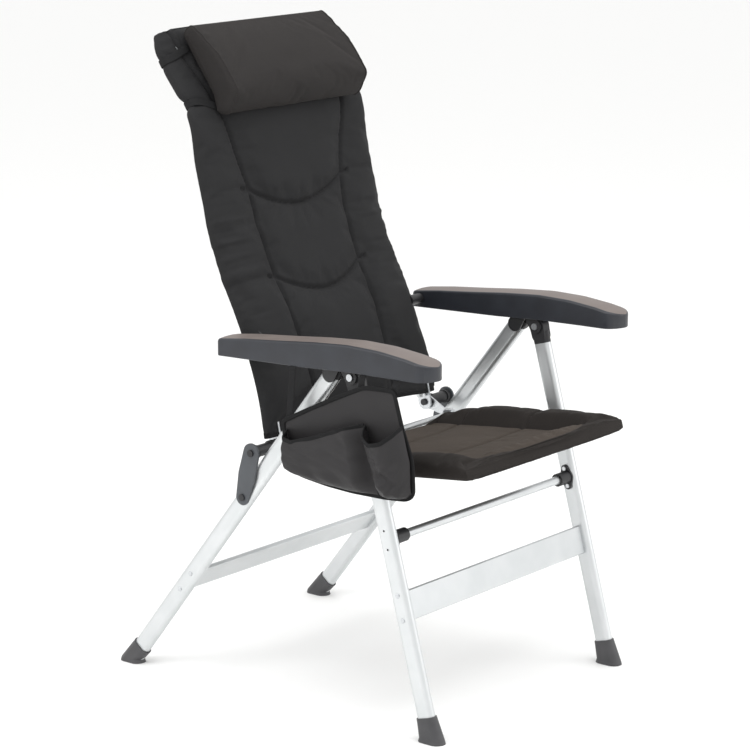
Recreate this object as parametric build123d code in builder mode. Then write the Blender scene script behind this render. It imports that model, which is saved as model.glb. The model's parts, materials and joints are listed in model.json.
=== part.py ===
from build123d import *
import os
from math import atan2, cos, hypot, sin

# Folding camp chair, in millimetres. X runs across the chair, the sitter faces -Y, the floor is Z = 0.
# The origin is on the floor, midway between the front and the rear feet.
# Side-view points are (y, z).

# Side view of the frame
FRONT_FOOT = (-364, 0)
REAR_FOOT = (364, 0)
REAR_LEG_TOP = (-143, 642)
LEG_PIVOT = (-190, 641)
CATCH_PIN = (-165, 670)
LINK_PIVOT = (64, 380)
SEAT_BACK_PIVOT = (42, 467)
SEAT_FRONT_PIVOT = (-239, 474)
ARM_PIVOT = (82, 664)

# Stations across the chair, as distances from the middle
LEG_INNER = 270
LEG_WIDTH = 20
LEG_OUTER = LEG_INNER + LEG_WIDTH
LEG_MIDDLE = LEG_INNER + LEG_WIDTH / 2
LEG_DEPTH = 35
LEG_WALL = 1.6
EAR_THICKNESS = 4
LINK_INNER = LEG_OUTER + 2
LINK_THICKNESS = 4
BACK_TUBE_X = 213
BACK_TUBE_R = 9
BACK_PLATE_X = 222.5
SEAT_TUBE_X = 232.5
SEAT_TUBE_R = 8.5
SEAT_PLATE_X = 230.5
PLATE_THICKNESS = 4
BACK_HALF = 250
SEAT_HALF = 245
ARM_INNER = 258.5
ARM_OUTER = 318.5
ARM_WALL = 3

# Hardware
RIVET_R = 2.5
RIVET_SPACING = 45
PIN_R = 4
RUNNING = 0.05
HEAD_R = 6.5
HEAD_HEIGHT = 3
RIVET_HEAD_R = 4.5
RIVET_HEAD_HEIGHT = 1.6
FRONT_BAR_AT = 0.3705
REAR_BAR_AT = 0.295
ROUND_BAR_AT = 0.556
BAR_HEIGHT = 54
BAR_THICKNESS = 10
ROUND_BAR_R = 8

# Backrest and pads
BACK_THICKNESS = 34
BACK_LINE = [
    (44, 487), (60, 565), (100, 675), (147, 765), (180, 851), (208, 965), (228, 1060), (293, 1155),
    (322, 1210),
]
SEAT_THICKNESS = 28
SEAT_REAR_GAP = 68
SEAT_LENGTH = 456
RAIL_DROP = 25
RAIL_RISE = 0.081

SIDES = {"right": -1, "left": 1}

os.makedirs("parts", exist_ok=True)


def save(part, label):
    part.label = label
    export_step(part, f"parts/{label}.step")


def toward(start, end, distance):
    # the point at a distance along the side-view line from start to end
    length = hypot(end[0] - start[0], end[1] - start[1])
    return (
        start[0] + (end[0] - start[0]) * distance / length,
        start[1] + (end[1] - start[1]) * distance / length,
    )


def span(start, end):
    return hypot(end[0] - start[0], end[1] - start[1])


def leg_plane(x, start, end, distance):
    # square across a leg, its local Y in the side view
    y, z = toward(start, end, distance)
    return Plane(origin=(x, y, z), x_dir=(1, 0, 0), z_dir=(0, end[0] - start[0], end[1] - start[1]))


def side_plane(x):
    return Plane.YZ.offset(x)


def outward(side, inner, thickness):
    # the side plane from which a positive extrusion covers inner to inner + thickness on that side
    return side_plane(inner if side > 0 else -inner - thickness)


# Legs: flat-oval aluminium tubes

FRONT_LENGTH = span(FRONT_FOOT, LEG_PIVOT)
REAR_LENGTH = span(REAR_FOOT, REAR_LEG_TOP)
FRONT_RIVETS = [FRONT_LENGTH * FRONT_BAR_AT + d for d in (-RIVET_SPACING / 2, RIVET_SPACING / 2)]
REAR_RIVETS = [REAR_LENGTH * REAR_BAR_AT + d for d in (-RIVET_SPACING / 2, RIVET_SPACING / 2)]
FRONT_RIVET_POINTS = [toward(FRONT_FOOT, LEG_PIVOT, d) for d in FRONT_RIVETS]
REAR_RIVET_POINTS = [toward(REAR_FOOT, REAR_LEG_TOP, d) for d in REAR_RIVETS]
SOCKET_AT = FRONT_LENGTH * ROUND_BAR_AT
SOCKET_POINT = toward(FRONT_FOOT, LEG_PIVOT, SOCKET_AT)
SOCKET_SCREWS = [toward(FRONT_FOOT, LEG_PIVOT, SOCKET_AT + d) for d in (-17, 17)]
SCREW_R = 2


def leg_tube(side, start, end, first, last, holes):
    with BuildPart() as leg:
        with BuildSketch(leg_plane(side * LEG_MIDDLE, start, end, first)):
            SlotOverall(LEG_DEPTH, LEG_WIDTH, rotation=90)
            SlotOverall(LEG_DEPTH - 2 * LEG_WALL, LEG_WIDTH - 2 * LEG_WALL, rotation=90, mode=Mode.SUBTRACT)
        extrude(amount=last - first)
        for radius, points in holes:
            with BuildSketch(outward(side, LEG_INNER - 1, LEG_WIDTH + 2)):
                with Locations(*points):
                    Circle(radius)
            extrude(amount=LEG_WIDTH + 2, mode=Mode.SUBTRACT)
    return leg.part


REAR_START = 22
FRONT_START = 14
CAP_LENGTH = 34
PLUG_INSET = 3

for name, side in SIDES.items():
    rear_leg = leg_tube(
        side, REAR_FOOT, REAR_LEG_TOP, REAR_START, REAR_LENGTH - PLUG_INSET,
        [(RIVET_R + RUNNING, REAR_RIVET_POINTS), (PIN_R + RUNNING, [LINK_PIVOT])],
    )
    save(rear_leg, f"rear_leg_{name}")
    front_leg = leg_tube(
        side, FRONT_FOOT, LEG_PIVOT, FRONT_START, FRONT_LENGTH - CAP_LENGTH,
        [
            (RIVET_R + RUNNING, FRONT_RIVET_POINTS),
            (SCREW_R + RUNNING, SOCKET_SCREWS),
            (PIN_R + RUNNING, [SEAT_FRONT_PIVOT]),
        ],
    )
    save(front_leg, f"front_leg_{name}")


# Feet: moulded caps with a flared sole

FOOT_HEIGHT = 46


def foot_cap(side, foot, top, lean, start):
    with BuildPart() as cap:
        with BuildSketch(Plane.XY):
            with Locations((side * LEG_MIDDLE, foot[0] + lean)):
                SlotOverall(54, 33, rotation=90)
        with BuildSketch(Plane.XY.offset(7)):
            with Locations((side * LEG_MIDDLE, foot[0] + lean * 0.9)):
                SlotOverall(50, 30, rotation=90)
        with BuildSketch(leg_plane(side * LEG_MIDDLE, foot, top, FOOT_HEIGHT)):
            SlotOverall(LEG_DEPTH + 5, LEG_WIDTH + 5, rotation=90)
        loft(ruled=True)
        with BuildSketch(leg_plane(side * LEG_MIDDLE, foot, top, start)):
            SlotOverall(LEG_DEPTH + 2 * RUNNING, LEG_WIDTH + 2 * RUNNING, rotation=90)
        extrude(amount=FOOT_HEIGHT * 2, mode=Mode.SUBTRACT)
    return cap.part


for name, side in SIDES.items():
    save(foot_cap(side, REAR_FOOT, REAR_LEG_TOP, -2, REAR_START), f"rear_foot_{name}")
    save(foot_cap(side, FRONT_FOOT, LEG_PIVOT, 0, FRONT_START), f"front_foot_{name}")


# Flat cross bars and their rivets

def cross_bar(start, end, at):
    with BuildPart() as bar:
        with BuildSketch(Plane(
            origin=(-LEG_INNER, *toward(start, end, at)), x_dir=(0, end[0] - start[0], end[1] - start[1]),
            z_dir=(1, 0, 0),
        )):
            RectangleRounded(BAR_HEIGHT, BAR_THICKNESS, 3)
            RectangleRounded(BAR_HEIGHT - 3.2, BAR_THICKNESS - 3.2, 1.5, mode=Mode.SUBTRACT)
        extrude(amount=2 * LEG_INNER)
    return bar.part


def rivet_group(points):
    # shanks through both legs, with a domed head on the outer face
    with BuildPart() as rivets:
        for side in SIDES.values():
            with BuildSketch(outward(side, LEG_INNER + 0.1, LEG_WIDTH - 0.1)):
                with Locations(*points):
                    Circle(RIVET_R)
            extrude(amount=LEG_WIDTH - 0.1)
            with BuildSketch(outward(side, LEG_OUTER, RIVET_HEAD_HEIGHT)):
                with Locations(*points):
                    Circle(RIVET_HEAD_R)
            extrude(amount=RIVET_HEAD_HEIGHT)
        circles = rivets.edges().filter_by(GeomType.CIRCLE)
        rims = [e for e in circles if abs(e.radius - RIVET_HEAD_R) < 0.01]
        outer = [e for e in rims if abs(e.center().X) > LEG_OUTER + RIVET_HEAD_HEIGHT / 2]
        fillet(outer, RIVET_HEAD_HEIGHT * 0.6)
    return rivets.part


save(cross_bar(REAR_FOOT, REAR_LEG_TOP, REAR_LENGTH * REAR_BAR_AT), "rear_cross_bar")
save(cross_bar(FRONT_FOOT, LEG_PIVOT, FRONT_LENGTH * FRONT_BAR_AT), "front_cross_bar")
save(rivet_group(REAR_RIVET_POINTS), "rear_bar_rivets")
save(rivet_group(FRONT_RIVET_POINTS), "front_bar_rivets")


# Round cross tube in its two moulded sockets

SOCKET_PLATE = 4
SOCKET_REACH = 34
SOCKET_FLANGE_R = 14
SOCKET_BODY_R = 12.5
SOCKET_SCREW_HEAD_R = 4

with BuildPart() as round_tube:
    with BuildSketch(side_plane(-LEG_INNER + SOCKET_PLATE + 1)):
        with Locations(SOCKET_POINT):
            Circle(ROUND_BAR_R)
            Circle(ROUND_BAR_R - 1.2, mode=Mode.SUBTRACT)
    extrude(amount=2 * (LEG_INNER - SOCKET_PLATE - 1))
save(round_tube.part, "round_cross_tube")

for name, side in SIDES.items():
    with BuildPart() as socket:
        with BuildSketch(outward(side, LEG_INNER - SOCKET_PLATE, SOCKET_PLATE)):
            with Locations(SOCKET_POINT):
                Circle(SOCKET_FLANGE_R)
            with Locations(*SOCKET_SCREWS):
                Circle(SOCKET_FLANGE_R / 2)
            make_hull()
        extrude(amount=SOCKET_PLATE)
        with BuildSketch(outward(side, LEG_INNER - SOCKET_REACH, SOCKET_REACH)):
            with Locations(SOCKET_POINT):
                Circle(SOCKET_BODY_R)
        extrude(amount=SOCKET_REACH)
        with BuildSketch(outward(side, LEG_INNER - SOCKET_REACH, SOCKET_REACH - SOCKET_PLATE)):
            with Locations(SOCKET_POINT):
                Circle(ROUND_BAR_R + RUNNING)
        extrude(amount=SOCKET_REACH - SOCKET_PLATE, mode=Mode.SUBTRACT)
        with BuildSketch(outward(side, LEG_INNER - SOCKET_PLATE, SOCKET_PLATE)):
            with Locations(*SOCKET_SCREWS):
                Circle(SCREW_R + RUNNING)
        extrude(amount=SOCKET_PLATE, mode=Mode.SUBTRACT)
    save(socket.part, f"tube_socket_{name}")

with BuildPart() as screws:
    for side in SIDES.values():
        with BuildSketch(outward(side, LEG_INNER - SOCKET_PLATE, LEG_WIDTH / 2)):
            with Locations(*SOCKET_SCREWS):
                Circle(SCREW_R)
        extrude(amount=LEG_WIDTH / 2)
        with BuildSketch(outward(side, LEG_INNER - SOCKET_PLATE - 2, 2)):
            with Locations(*SOCKET_SCREWS):
                Circle(SOCKET_SCREW_HEAD_R)
        extrude(amount=2)
save(screws.part, "socket_screws")


# Leg brackets: a plug in the rear leg, two ears around the leg pivot, and the catch pin above

PLUG_DEPTH = 60
EAR_R = 13
EAR_NECK_R = 8
EAR_GAP = 0.5
CATCH_R = 5
PLUG_COLLAR = 18

for name, side in SIDES.items():
    plug_start = REAR_LENGTH - PLUG_DEPTH
    with BuildPart() as bracket:
        with BuildSketch(leg_plane(side * LEG_MIDDLE, REAR_FOOT, REAR_LEG_TOP, plug_start)):
            SlotOverall(LEG_DEPTH - 2 * LEG_WALL - 0.1, LEG_WIDTH - 2 * LEG_WALL - 0.1, rotation=90)
        extrude(amount=PLUG_DEPTH + 1)
        with BuildSketch(leg_plane(side * LEG_MIDDLE, REAR_FOOT, REAR_LEG_TOP, REAR_LENGTH - PLUG_INSET)):
            SlotOverall(LEG_DEPTH, LEG_WIDTH, rotation=90)
        extrude(amount=PLUG_COLLAR)
        for inner in (LEG_INNER - EAR_THICKNESS - EAR_GAP, LEG_OUTER + EAR_GAP):
            with BuildSketch(outward(side, inner, EAR_THICKNESS)):
                with Locations(LEG_PIVOT):
                    Circle(EAR_R)
                with Locations(CATCH_PIN):
                    Circle(EAR_NECK_R)
                make_hull()
            extrude(amount=EAR_THICKNESS)
            with BuildSketch(outward(side, inner, EAR_THICKNESS)):
                with Locations(toward(REAR_FOOT, REAR_LEG_TOP, REAR_LENGTH - 2)):
                    Circle(15)
                with Locations(CATCH_PIN):
                    Circle(EAR_NECK_R)
                make_hull()
            extrude(amount=EAR_THICKNESS)
        with BuildSketch(outward(side, LEG_INNER - EAR_GAP, LEG_WIDTH + 2 * EAR_GAP)):
            with Locations(toward(REAR_FOOT, REAR_LEG_TOP, REAR_LENGTH + 8)):
                Circle(9)
        extrude(amount=LEG_WIDTH + 2 * EAR_GAP)
        with BuildSketch(outward(side, LEG_INNER - 10, LEG_WIDTH + 20)):
            with Locations(LEG_PIVOT):
                Circle(PIN_R + RUNNING)
            with Locations(CATCH_PIN):
                Circle(CATCH_R + RUNNING)
        extrude(amount=LEG_WIDTH + 20, mode=Mode.SUBTRACT)
    save(bracket.part, f"leg_bracket_{name}")

    pin_reach = EAR_THICKNESS + EAR_GAP
    with BuildPart() as pivot_bolt:
        with BuildSketch(outward(side, LEG_INNER - pin_reach, LEG_WIDTH + 2 * pin_reach)):
            with Locations(LEG_PIVOT):
                Circle(PIN_R)
        extrude(amount=LEG_WIDTH + 2 * pin_reach)
        for inner in (LEG_INNER - pin_reach - HEAD_HEIGHT, LEG_OUTER + pin_reach):
            with BuildSketch(outward(side, inner, HEAD_HEIGHT)):
                with Locations(LEG_PIVOT):
                    Circle(HEAD_R)
            extrude(amount=HEAD_HEIGHT)
    save(pivot_bolt.part, f"leg_pivot_bolt_{name}")

    with BuildPart() as catch:
        with BuildSketch(outward(side, LEG_INNER - pin_reach, LEG_WIDTH + 2 * pin_reach)):
            with Locations(CATCH_PIN):
                Circle(CATCH_R)
        extrude(amount=LEG_WIDTH + 2 * pin_reach)
    save(catch.part, f"catch_pin_{name}")

    with BuildPart() as leg_cap:
        with BuildSketch(leg_plane(side * LEG_MIDDLE, FRONT_FOOT, LEG_PIVOT, FRONT_LENGTH - CAP_LENGTH - 40)):
            SlotOverall(LEG_DEPTH - 2 * LEG_WALL - 0.1, LEG_WIDTH - 2 * LEG_WALL - 0.1, rotation=90)
        extrude(amount=41)
        with BuildSketch(leg_plane(side * LEG_MIDDLE, FRONT_FOOT, LEG_PIVOT, FRONT_LENGTH - CAP_LENGTH)):
            SlotOverall(LEG_DEPTH, LEG_WIDTH, rotation=90)
        extrude(amount=CAP_LENGTH - 12)
        with BuildSketch(outward(side, LEG_INNER, LEG_WIDTH)):
            with Locations(LEG_PIVOT):
                Circle(16)
            with Locations(toward(FRONT_FOOT, LEG_PIVOT, FRONT_LENGTH - 18)):
                Circle(15)
            make_hull()
        extrude(amount=LEG_WIDTH)
        with BuildSketch(outward(side, LEG_INNER - 1, LEG_WIDTH + 2)):
            with Locations(LEG_PIVOT):
                Circle(PIN_R + RUNNING)
        extrude(amount=LEG_WIDTH + 2, mode=Mode.SUBTRACT)
    save(leg_cap.part, f"front_leg_cap_{name}")


# Link plates between the rear legs and the seat and back pivot

for name, side in SIDES.items():
    with BuildPart() as link:
        with BuildSketch(outward(side, LINK_INNER, LINK_THICKNESS)):
            middle = ((LINK_PIVOT[0] + SEAT_BACK_PIVOT[0]) / 2, (LINK_PIVOT[1] + SEAT_BACK_PIVOT[1]) / 2)
            with Locations(LINK_PIVOT):
                Circle(15)
            with Locations(SEAT_BACK_PIVOT):
                Circle(18)
            with Locations(middle):
                Circle(20)
            make_hull()
        extrude(amount=LINK_THICKNESS)
        rims = link.faces().filter_by(Axis.X).sort_by(Axis.X)
        fillet(rims[-1 if side > 0 else 0].edges(), 1)
        with BuildSketch(outward(side, LINK_INNER - 1, LINK_THICKNESS + 2)):
            with Locations(LINK_PIVOT, SEAT_BACK_PIVOT):
                Circle(PIN_R + RUNNING)
        extrude(amount=LINK_THICKNESS + 2, mode=Mode.SUBTRACT)
    save(link.part, f"link_plate_{name}")

    with BuildPart() as axle:
        axle_start = BACK_PLATE_X - 1
        axle_end = LINK_INNER + LINK_THICKNESS
        with BuildSketch(outward(side, axle_start, axle_end - axle_start)):
            with Locations(SEAT_BACK_PIVOT):
                Circle(PIN_R)
        extrude(amount=axle_end - axle_start)
        for inner in (axle_start - HEAD_HEIGHT, axle_end):
            with BuildSketch(outward(side, inner, HEAD_HEIGHT)):
                with Locations(SEAT_BACK_PIVOT):
                    Circle(HEAD_R)
            extrude(amount=HEAD_HEIGHT)
    save(axle.part, f"hinge_axle_{name}")

with BuildPart() as link_bolts:
    for side in SIDES.values():
        with BuildSketch(outward(side, LEG_INNER - 1, LEG_WIDTH + LINK_THICKNESS + 3)):
            with Locations(LINK_PIVOT):
                Circle(PIN_R)
        extrude(amount=LEG_WIDTH + LINK_THICKNESS + 3)
        for inner in (LEG_INNER - HEAD_HEIGHT - 1, LINK_INNER + LINK_THICKNESS):
            with BuildSketch(outward(side, inner, HEAD_HEIGHT)):
                with Locations(LINK_PIVOT):
                    Circle(HEAD_R)
            extrude(amount=HEAD_HEIGHT)
        with BuildSketch(outward(side, LEG_OUTER + 0.1, LINK_INNER - LEG_OUTER - 0.2)):
            with Locations(LINK_PIVOT):
                Circle(9)
        extrude(amount=LINK_INNER - LEG_OUTER - 0.2)
save(link_bolts.part, "link_bolts")


# Drums and washers that space the backrest from the links

DRUM_START = SEAT_PLATE_X + PLATE_THICKNESS + 0.5
DRUM_R = 11
DRUM_RIM_R = 13.5
DRUM_RIM = 9
WASHER = 3.4

for name, side in SIDES.items():
    with BuildPart() as drum:
        with BuildSketch(outward(side, DRUM_START, LINK_INNER - DRUM_START - 0.2)):
            with Locations(SEAT_BACK_PIVOT):
                Circle(DRUM_R)
        extrude(amount=LINK_INNER - DRUM_START - 0.2)
        for inner in (DRUM_START, LINK_INNER - DRUM_RIM - 0.2):
            with BuildSketch(outward(side, inner, DRUM_RIM)):
                with Locations(SEAT_BACK_PIVOT):
                    Circle(DRUM_RIM_R)
            extrude(amount=DRUM_RIM)
        with BuildSketch(outward(side, DRUM_START, LINK_INNER - DRUM_START)):
            with Locations(SEAT_BACK_PIVOT):
                Circle(PIN_R + RUNNING)
        extrude(amount=LINK_INNER - DRUM_START, mode=Mode.SUBTRACT)
    save(drum.part, f"hinge_drum_{name}")

with BuildPart() as washers:
    for side in SIDES.values():
        with BuildSketch(outward(side, BACK_PLATE_X + PLATE_THICKNESS + 0.3, WASHER)):
            with Locations(SEAT_BACK_PIVOT):
                Circle(13)
                Circle(PIN_R + RUNNING, mode=Mode.SUBTRACT)
        extrude(amount=WASHER)
save(washers.part, "hinge_washers")


# Seat: a U-shaped tube, a rear tube, two hinge plates and the pad

SEAT_AXIS = atan2(SEAT_FRONT_PIVOT[1] - SEAT_BACK_PIVOT[1], SEAT_FRONT_PIVOT[0] - SEAT_BACK_PIVOT[0])


def seat_point(distance, height):
    # distance forward from the rear pivot along the line of the two seat pivots, height square to it
    return (
        SEAT_BACK_PIVOT[0] + distance * cos(SEAT_AXIS) + height * sin(SEAT_AXIS),
        SEAT_BACK_PIVOT[1] + distance * sin(SEAT_AXIS) - height * cos(SEAT_AXIS),
    )


def rail_point(distance):
    return seat_point(distance, RAIL_RISE * distance - RAIL_DROP)


RAIL_START = rail_point(46)
RAIL_END = rail_point(432)
RAIL_PLANE = Plane(
    origin=(0, *RAIL_START), x_dir=(1, 0, 0),
    z_dir=(0, -(RAIL_END[1] - RAIL_START[1]), RAIL_END[0] - RAIL_START[0]),
)
RAIL_LENGTH = span(RAIL_START, RAIL_END)


def seat_rail_path():
    with BuildLine(RAIL_PLANE) as path:
        FilletPolyline(
            (-SEAT_TUBE_X, 0), (-SEAT_TUBE_X, RAIL_LENGTH), (SEAT_TUBE_X, RAIL_LENGTH), (SEAT_TUBE_X, 0),
            radius=45,
        )
    return path.line


rail_path = seat_rail_path()
with BuildPart() as seat_frame:
    with BuildSketch(Plane(origin=rail_path @ 0, z_dir=rail_path % 0)):
        Circle(SEAT_TUBE_R)
        Circle(SEAT_TUBE_R - 1.5, mode=Mode.SUBTRACT)
    sweep(path=rail_path)
save(seat_frame.part, "seat_frame")

REAR_TUBE_AT = toward(RAIL_START, RAIL_END, 9)
with BuildPart() as seat_rear_tube:
    rear_tube_half = SEAT_TUBE_X - SEAT_TUBE_R - 0.2
    with BuildSketch(side_plane(-rear_tube_half)):
        with Locations(REAR_TUBE_AT):
            Circle(7)
            Circle(5.8, mode=Mode.SUBTRACT)
    extrude(amount=2 * rear_tube_half)
save(seat_rear_tube.part, "seat_rear_tube")

for name, side in SIDES.items():
    with BuildPart() as seat_plate:
        with BuildSketch(outward(side, SEAT_PLATE_X, PLATE_THICKNESS)):
            with Locations(SEAT_BACK_PIVOT):
                Circle(13)
            with Locations(toward(RAIL_START, RAIL_END, 6)):
                Circle(5)
            make_hull()
            with Locations(SEAT_BACK_PIVOT):
                Circle(PIN_R + RUNNING, mode=Mode.SUBTRACT)
        extrude(amount=PLATE_THICKNESS)
        with BuildSketch(leg_plane(side * SEAT_TUBE_X, RAIL_START, RAIL_END, -0.5)):
            Circle(SEAT_TUBE_R + 3)
        extrude(amount=18)
        with BuildSketch(leg_plane(side * SEAT_TUBE_X, RAIL_START, RAIL_END, 0)):
            Circle(SEAT_TUBE_R + RUNNING)
        extrude(amount=18, mode=Mode.SUBTRACT)
        with BuildSketch(side_plane(-SEAT_TUBE_X)):
            with Locations(REAR_TUBE_AT):
                Circle(7 + RUNNING)
        extrude(amount=2 * SEAT_TUBE_X, mode=Mode.SUBTRACT)
    save(seat_plate.part, f"seat_plate_{name}")



def pad_corner(distance, face):
    return seat_point(distance, RAIL_RISE * distance - RAIL_DROP + face * SEAT_THICKNESS)


with BuildPart() as seat_pad:
    with BuildSketch(side_plane(-SEAT_HALF)):
        with BuildLine():
            Polyline(
                pad_corner(SEAT_REAR_GAP, 0.5),
                pad_corner(SEAT_REAR_GAP, -0.5),
                pad_corner(SEAT_LENGTH, -0.5),
                pad_corner(SEAT_LENGTH, 0.5),
                close=True,
            )
        make_face()
    extrude(amount=2 * SEAT_HALF)
    fillet(seat_pad.edges().filter_by(Axis.X), 9)
    with BuildSketch(Plane(origin=rail_path @ 0, z_dir=rail_path % 0)):
        Circle(SEAT_TUBE_R + 0.3)
    sweep(path=rail_path, mode=Mode.SUBTRACT)
save(seat_pad.part, "seat_pad")

with BuildPart() as seat_bolts:
    for side in SIDES.values():
        with BuildSketch(outward(side, SEAT_HALF + 0.5, LEG_OUTER - SEAT_HALF - 0.5)):
            with Locations(SEAT_FRONT_PIVOT):
                Circle(PIN_R)
        extrude(amount=LEG_OUTER - SEAT_HALF - 0.5)
        for inner, width, radius in ((SEAT_HALF + 0.5, 24, 8), (LEG_OUTER, HEAD_HEIGHT, HEAD_R)):
            with BuildSketch(outward(side, inner, width)):
                with Locations(SEAT_FRONT_PIVOT):
                    Circle(radius)
            extrude(amount=width)
save(seat_bolts.part, "seat_pivot_bolts")


# Backrest: two bent side tubes, a top tube, hinge plates, arm lugs and the pad

TUBE_END = (309, 1185)


def back_side_path(x, extra):
    bottom = toward(BACK_LINE[0], BACK_LINE[1], -extra)
    with BuildLine(side_plane(x)) as path:
        FilletPolyline(bottom, *BACK_LINE[1:-1], TUBE_END, radius=60)
    return path.line


TOP_TUBE_AT = (303, 1174)
TUBE_GAP = 0.3
BACK_PLATE_TOP = (52, 536)
ARM_LUG_ROOT = (104, 684)

for name, side in SIDES.items():
    side_path = back_side_path(side * BACK_TUBE_X, 8)
    with BuildPart() as side_tube:
        with BuildSketch(Plane(origin=side_path @ 0, z_dir=side_path % 0)):
            Circle(BACK_TUBE_R)
            Circle(BACK_TUBE_R - 1.5, mode=Mode.SUBTRACT)
        sweep(path=side_path)
    save(side_tube.part, f"back_tube_{name}")

    with BuildPart() as back_plate:
        with BuildSketch(outward(side, BACK_PLATE_X, PLATE_THICKNESS)):
            with Locations(SEAT_BACK_PIVOT):
                Circle(15)
            with Locations(BACK_PLATE_TOP):
                Circle(10)
            make_hull()
            with Locations(SEAT_BACK_PIVOT):
                Circle(PIN_R + RUNNING, mode=Mode.SUBTRACT)
        extrude(amount=PLATE_THICKNESS)
    save(back_plate.part, f"back_plate_{name}")

    with BuildPart() as arm_lug:
        with BuildSketch(outward(side, BACK_PLATE_X, PLATE_THICKNESS)):
            with Locations(ARM_PIVOT):
                Circle(11)
            with Locations(ARM_LUG_ROOT):
                Circle(9)
            make_hull()
            with Locations(ARM_PIVOT):
                Circle(PIN_R + RUNNING, mode=Mode.SUBTRACT)
        extrude(amount=PLATE_THICKNESS)
    save(arm_lug.part, f"arm_lug_{name}")

with BuildPart() as top_tube:
    top_half = BACK_TUBE_X - BACK_TUBE_R - 0.2
    with BuildSketch(side_plane(-top_half)):
        with Locations(TOP_TUBE_AT):
            Circle(BACK_TUBE_R)
            Circle(BACK_TUBE_R - 1.5, mode=Mode.SUBTRACT)
    extrude(amount=2 * top_half)
save(top_tube.part, "back_top_tube")

with BuildPart() as back_pad:
    with BuildSketch(side_plane(-BACK_HALF)):
        with BuildLine():
            Spline(*BACK_LINE)
        trace(line_width=BACK_THICKNESS)
    extrude(amount=2 * BACK_HALF)
    for side in SIDES.values():
        cut_path = back_side_path(side * BACK_TUBE_X, 40)
        with BuildSketch(Plane(origin=cut_path @ 0, z_dir=cut_path % 0)):
            Circle(BACK_TUBE_R + TUBE_GAP)
        sweep(path=cut_path, mode=Mode.SUBTRACT)
        with BuildSketch(outward(side, BACK_PLATE_X - TUBE_GAP, 30)):
            with Locations(SEAT_BACK_PIVOT, (38, 500)):
                Circle(19)
            with Locations(BACK_PLATE_TOP):
                Circle(14)
            make_hull()
        extrude(amount=30, mode=Mode.SUBTRACT)
        with BuildSketch(outward(side, BACK_PLATE_X - TUBE_GAP, 30)):
            with Locations(ARM_PIVOT, ARM_LUG_ROOT):
                Circle(12)
            make_hull()
        extrude(amount=30, mode=Mode.SUBTRACT)
    with BuildSketch(side_plane(-BACK_TUBE_X)):
        with Locations(TOP_TUBE_AT):
            Circle(BACK_TUBE_R + TUBE_GAP)
    extrude(amount=2 * BACK_TUBE_X, mode=Mode.SUBTRACT)
save(back_pad.part, "back_pad")


# Head pillow and the elastic straps that hold it

PILLOW_HALF = 198
PILLOW = [
    (206, 1066), (214, 1100), (267, 1172), (290, 1212), (268, 1226), (205, 1170), (153, 1106), (182, 1062),
]
STRAP_WIDTH = 14
STRAP_STATIONS = (0.80, 0.925)

with BuildLine(Plane.YZ) as back_line:
    Spline(*BACK_LINE)
back_centre = back_line.line

with BuildPart() as pillow:
    with BuildSketch(side_plane(-PILLOW_HALF)):
        with BuildLine():
            Polyline(*PILLOW, close=True)
        make_face()
    extrude(amount=2 * PILLOW_HALF)
    fillet(pillow.edges().filter_by(Axis.X), 5)
save(pillow.part, "head_pillow")

with BuildPart() as straps:
    for at in STRAP_STATIONS:
        strap_plane = Plane(origin=back_centre @ at, x_dir=(1, 0, 0), z_dir=back_centre % at)
        with BuildSketch(strap_plane):
            Rectangle(2 * BACK_HALF + 4, BACK_THICKNESS + 7)
            Rectangle(2 * BACK_HALF + 1.2, BACK_THICKNESS + 4, mode=Mode.SUBTRACT)
        extrude(amount=STRAP_WIDTH / 2, both=True)
save(straps.part, "pillow_straps")


# Armrests: moulded channels, their racks and pivot pins

ARM_TOP = [(96, 677), (40, 684), (-40, 691), (-120, 699), (-200, 705), (-280, 703), (-335, 695), (-381, 682)]
ARM_BOTTOM = [(-381, 669), (-347, 659), (-198, 656), (108, 645)]
ARM_REAR = ARM_BOTTOM[-1][0]
ARM_FRONT = ARM_TOP[-1][0]
NOSE_R = 29
REAR_R = 8
TOP_WALL = 5
RACK_START = -300
RACK_END = -152
RACK = [(RACK_START, 676.5), (RACK_END, 676.5), (RACK_END, 693), (-199, 697), (RACK_START, 694)]
NOTCH_PITCH = 28
NOTCH_COUNT = 5


def arm_body(side, inset, raise_top, drop):
    # the armrest's outline from the side, rounded in plan at the nose and the rear
    width = ARM_OUTER - ARM_INNER - 2 * inset
    with BuildPart() as body:
        with BuildSketch(outward(side, ARM_INNER + inset, width)):
            with BuildLine():
                top = Spline(*[(y, z - raise_top) for y, z in ARM_TOP])
                Polyline(top @ 1, *[(y, z - drop) for y, z in ARM_BOTTOM], top @ 0)
            make_face()
        extrude(amount=width)
        with BuildSketch(Plane.XY.offset(ARM_BOTTOM[-1][1] - drop - 1)) as plan:
            with Locations((side * (ARM_INNER + ARM_OUTER) / 2, (ARM_REAR + ARM_FRONT) / 2)):
                Rectangle(width, ARM_REAR - ARM_FRONT - 2 * inset)
            fillet(plan.vertices().group_by(Axis.Y)[0], NOSE_R - inset)
            fillet(plan.vertices().group_by(Axis.Y)[-1], REAR_R - inset)
        extrude(amount=150, mode=Mode.INTERSECT)
    return body


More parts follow.
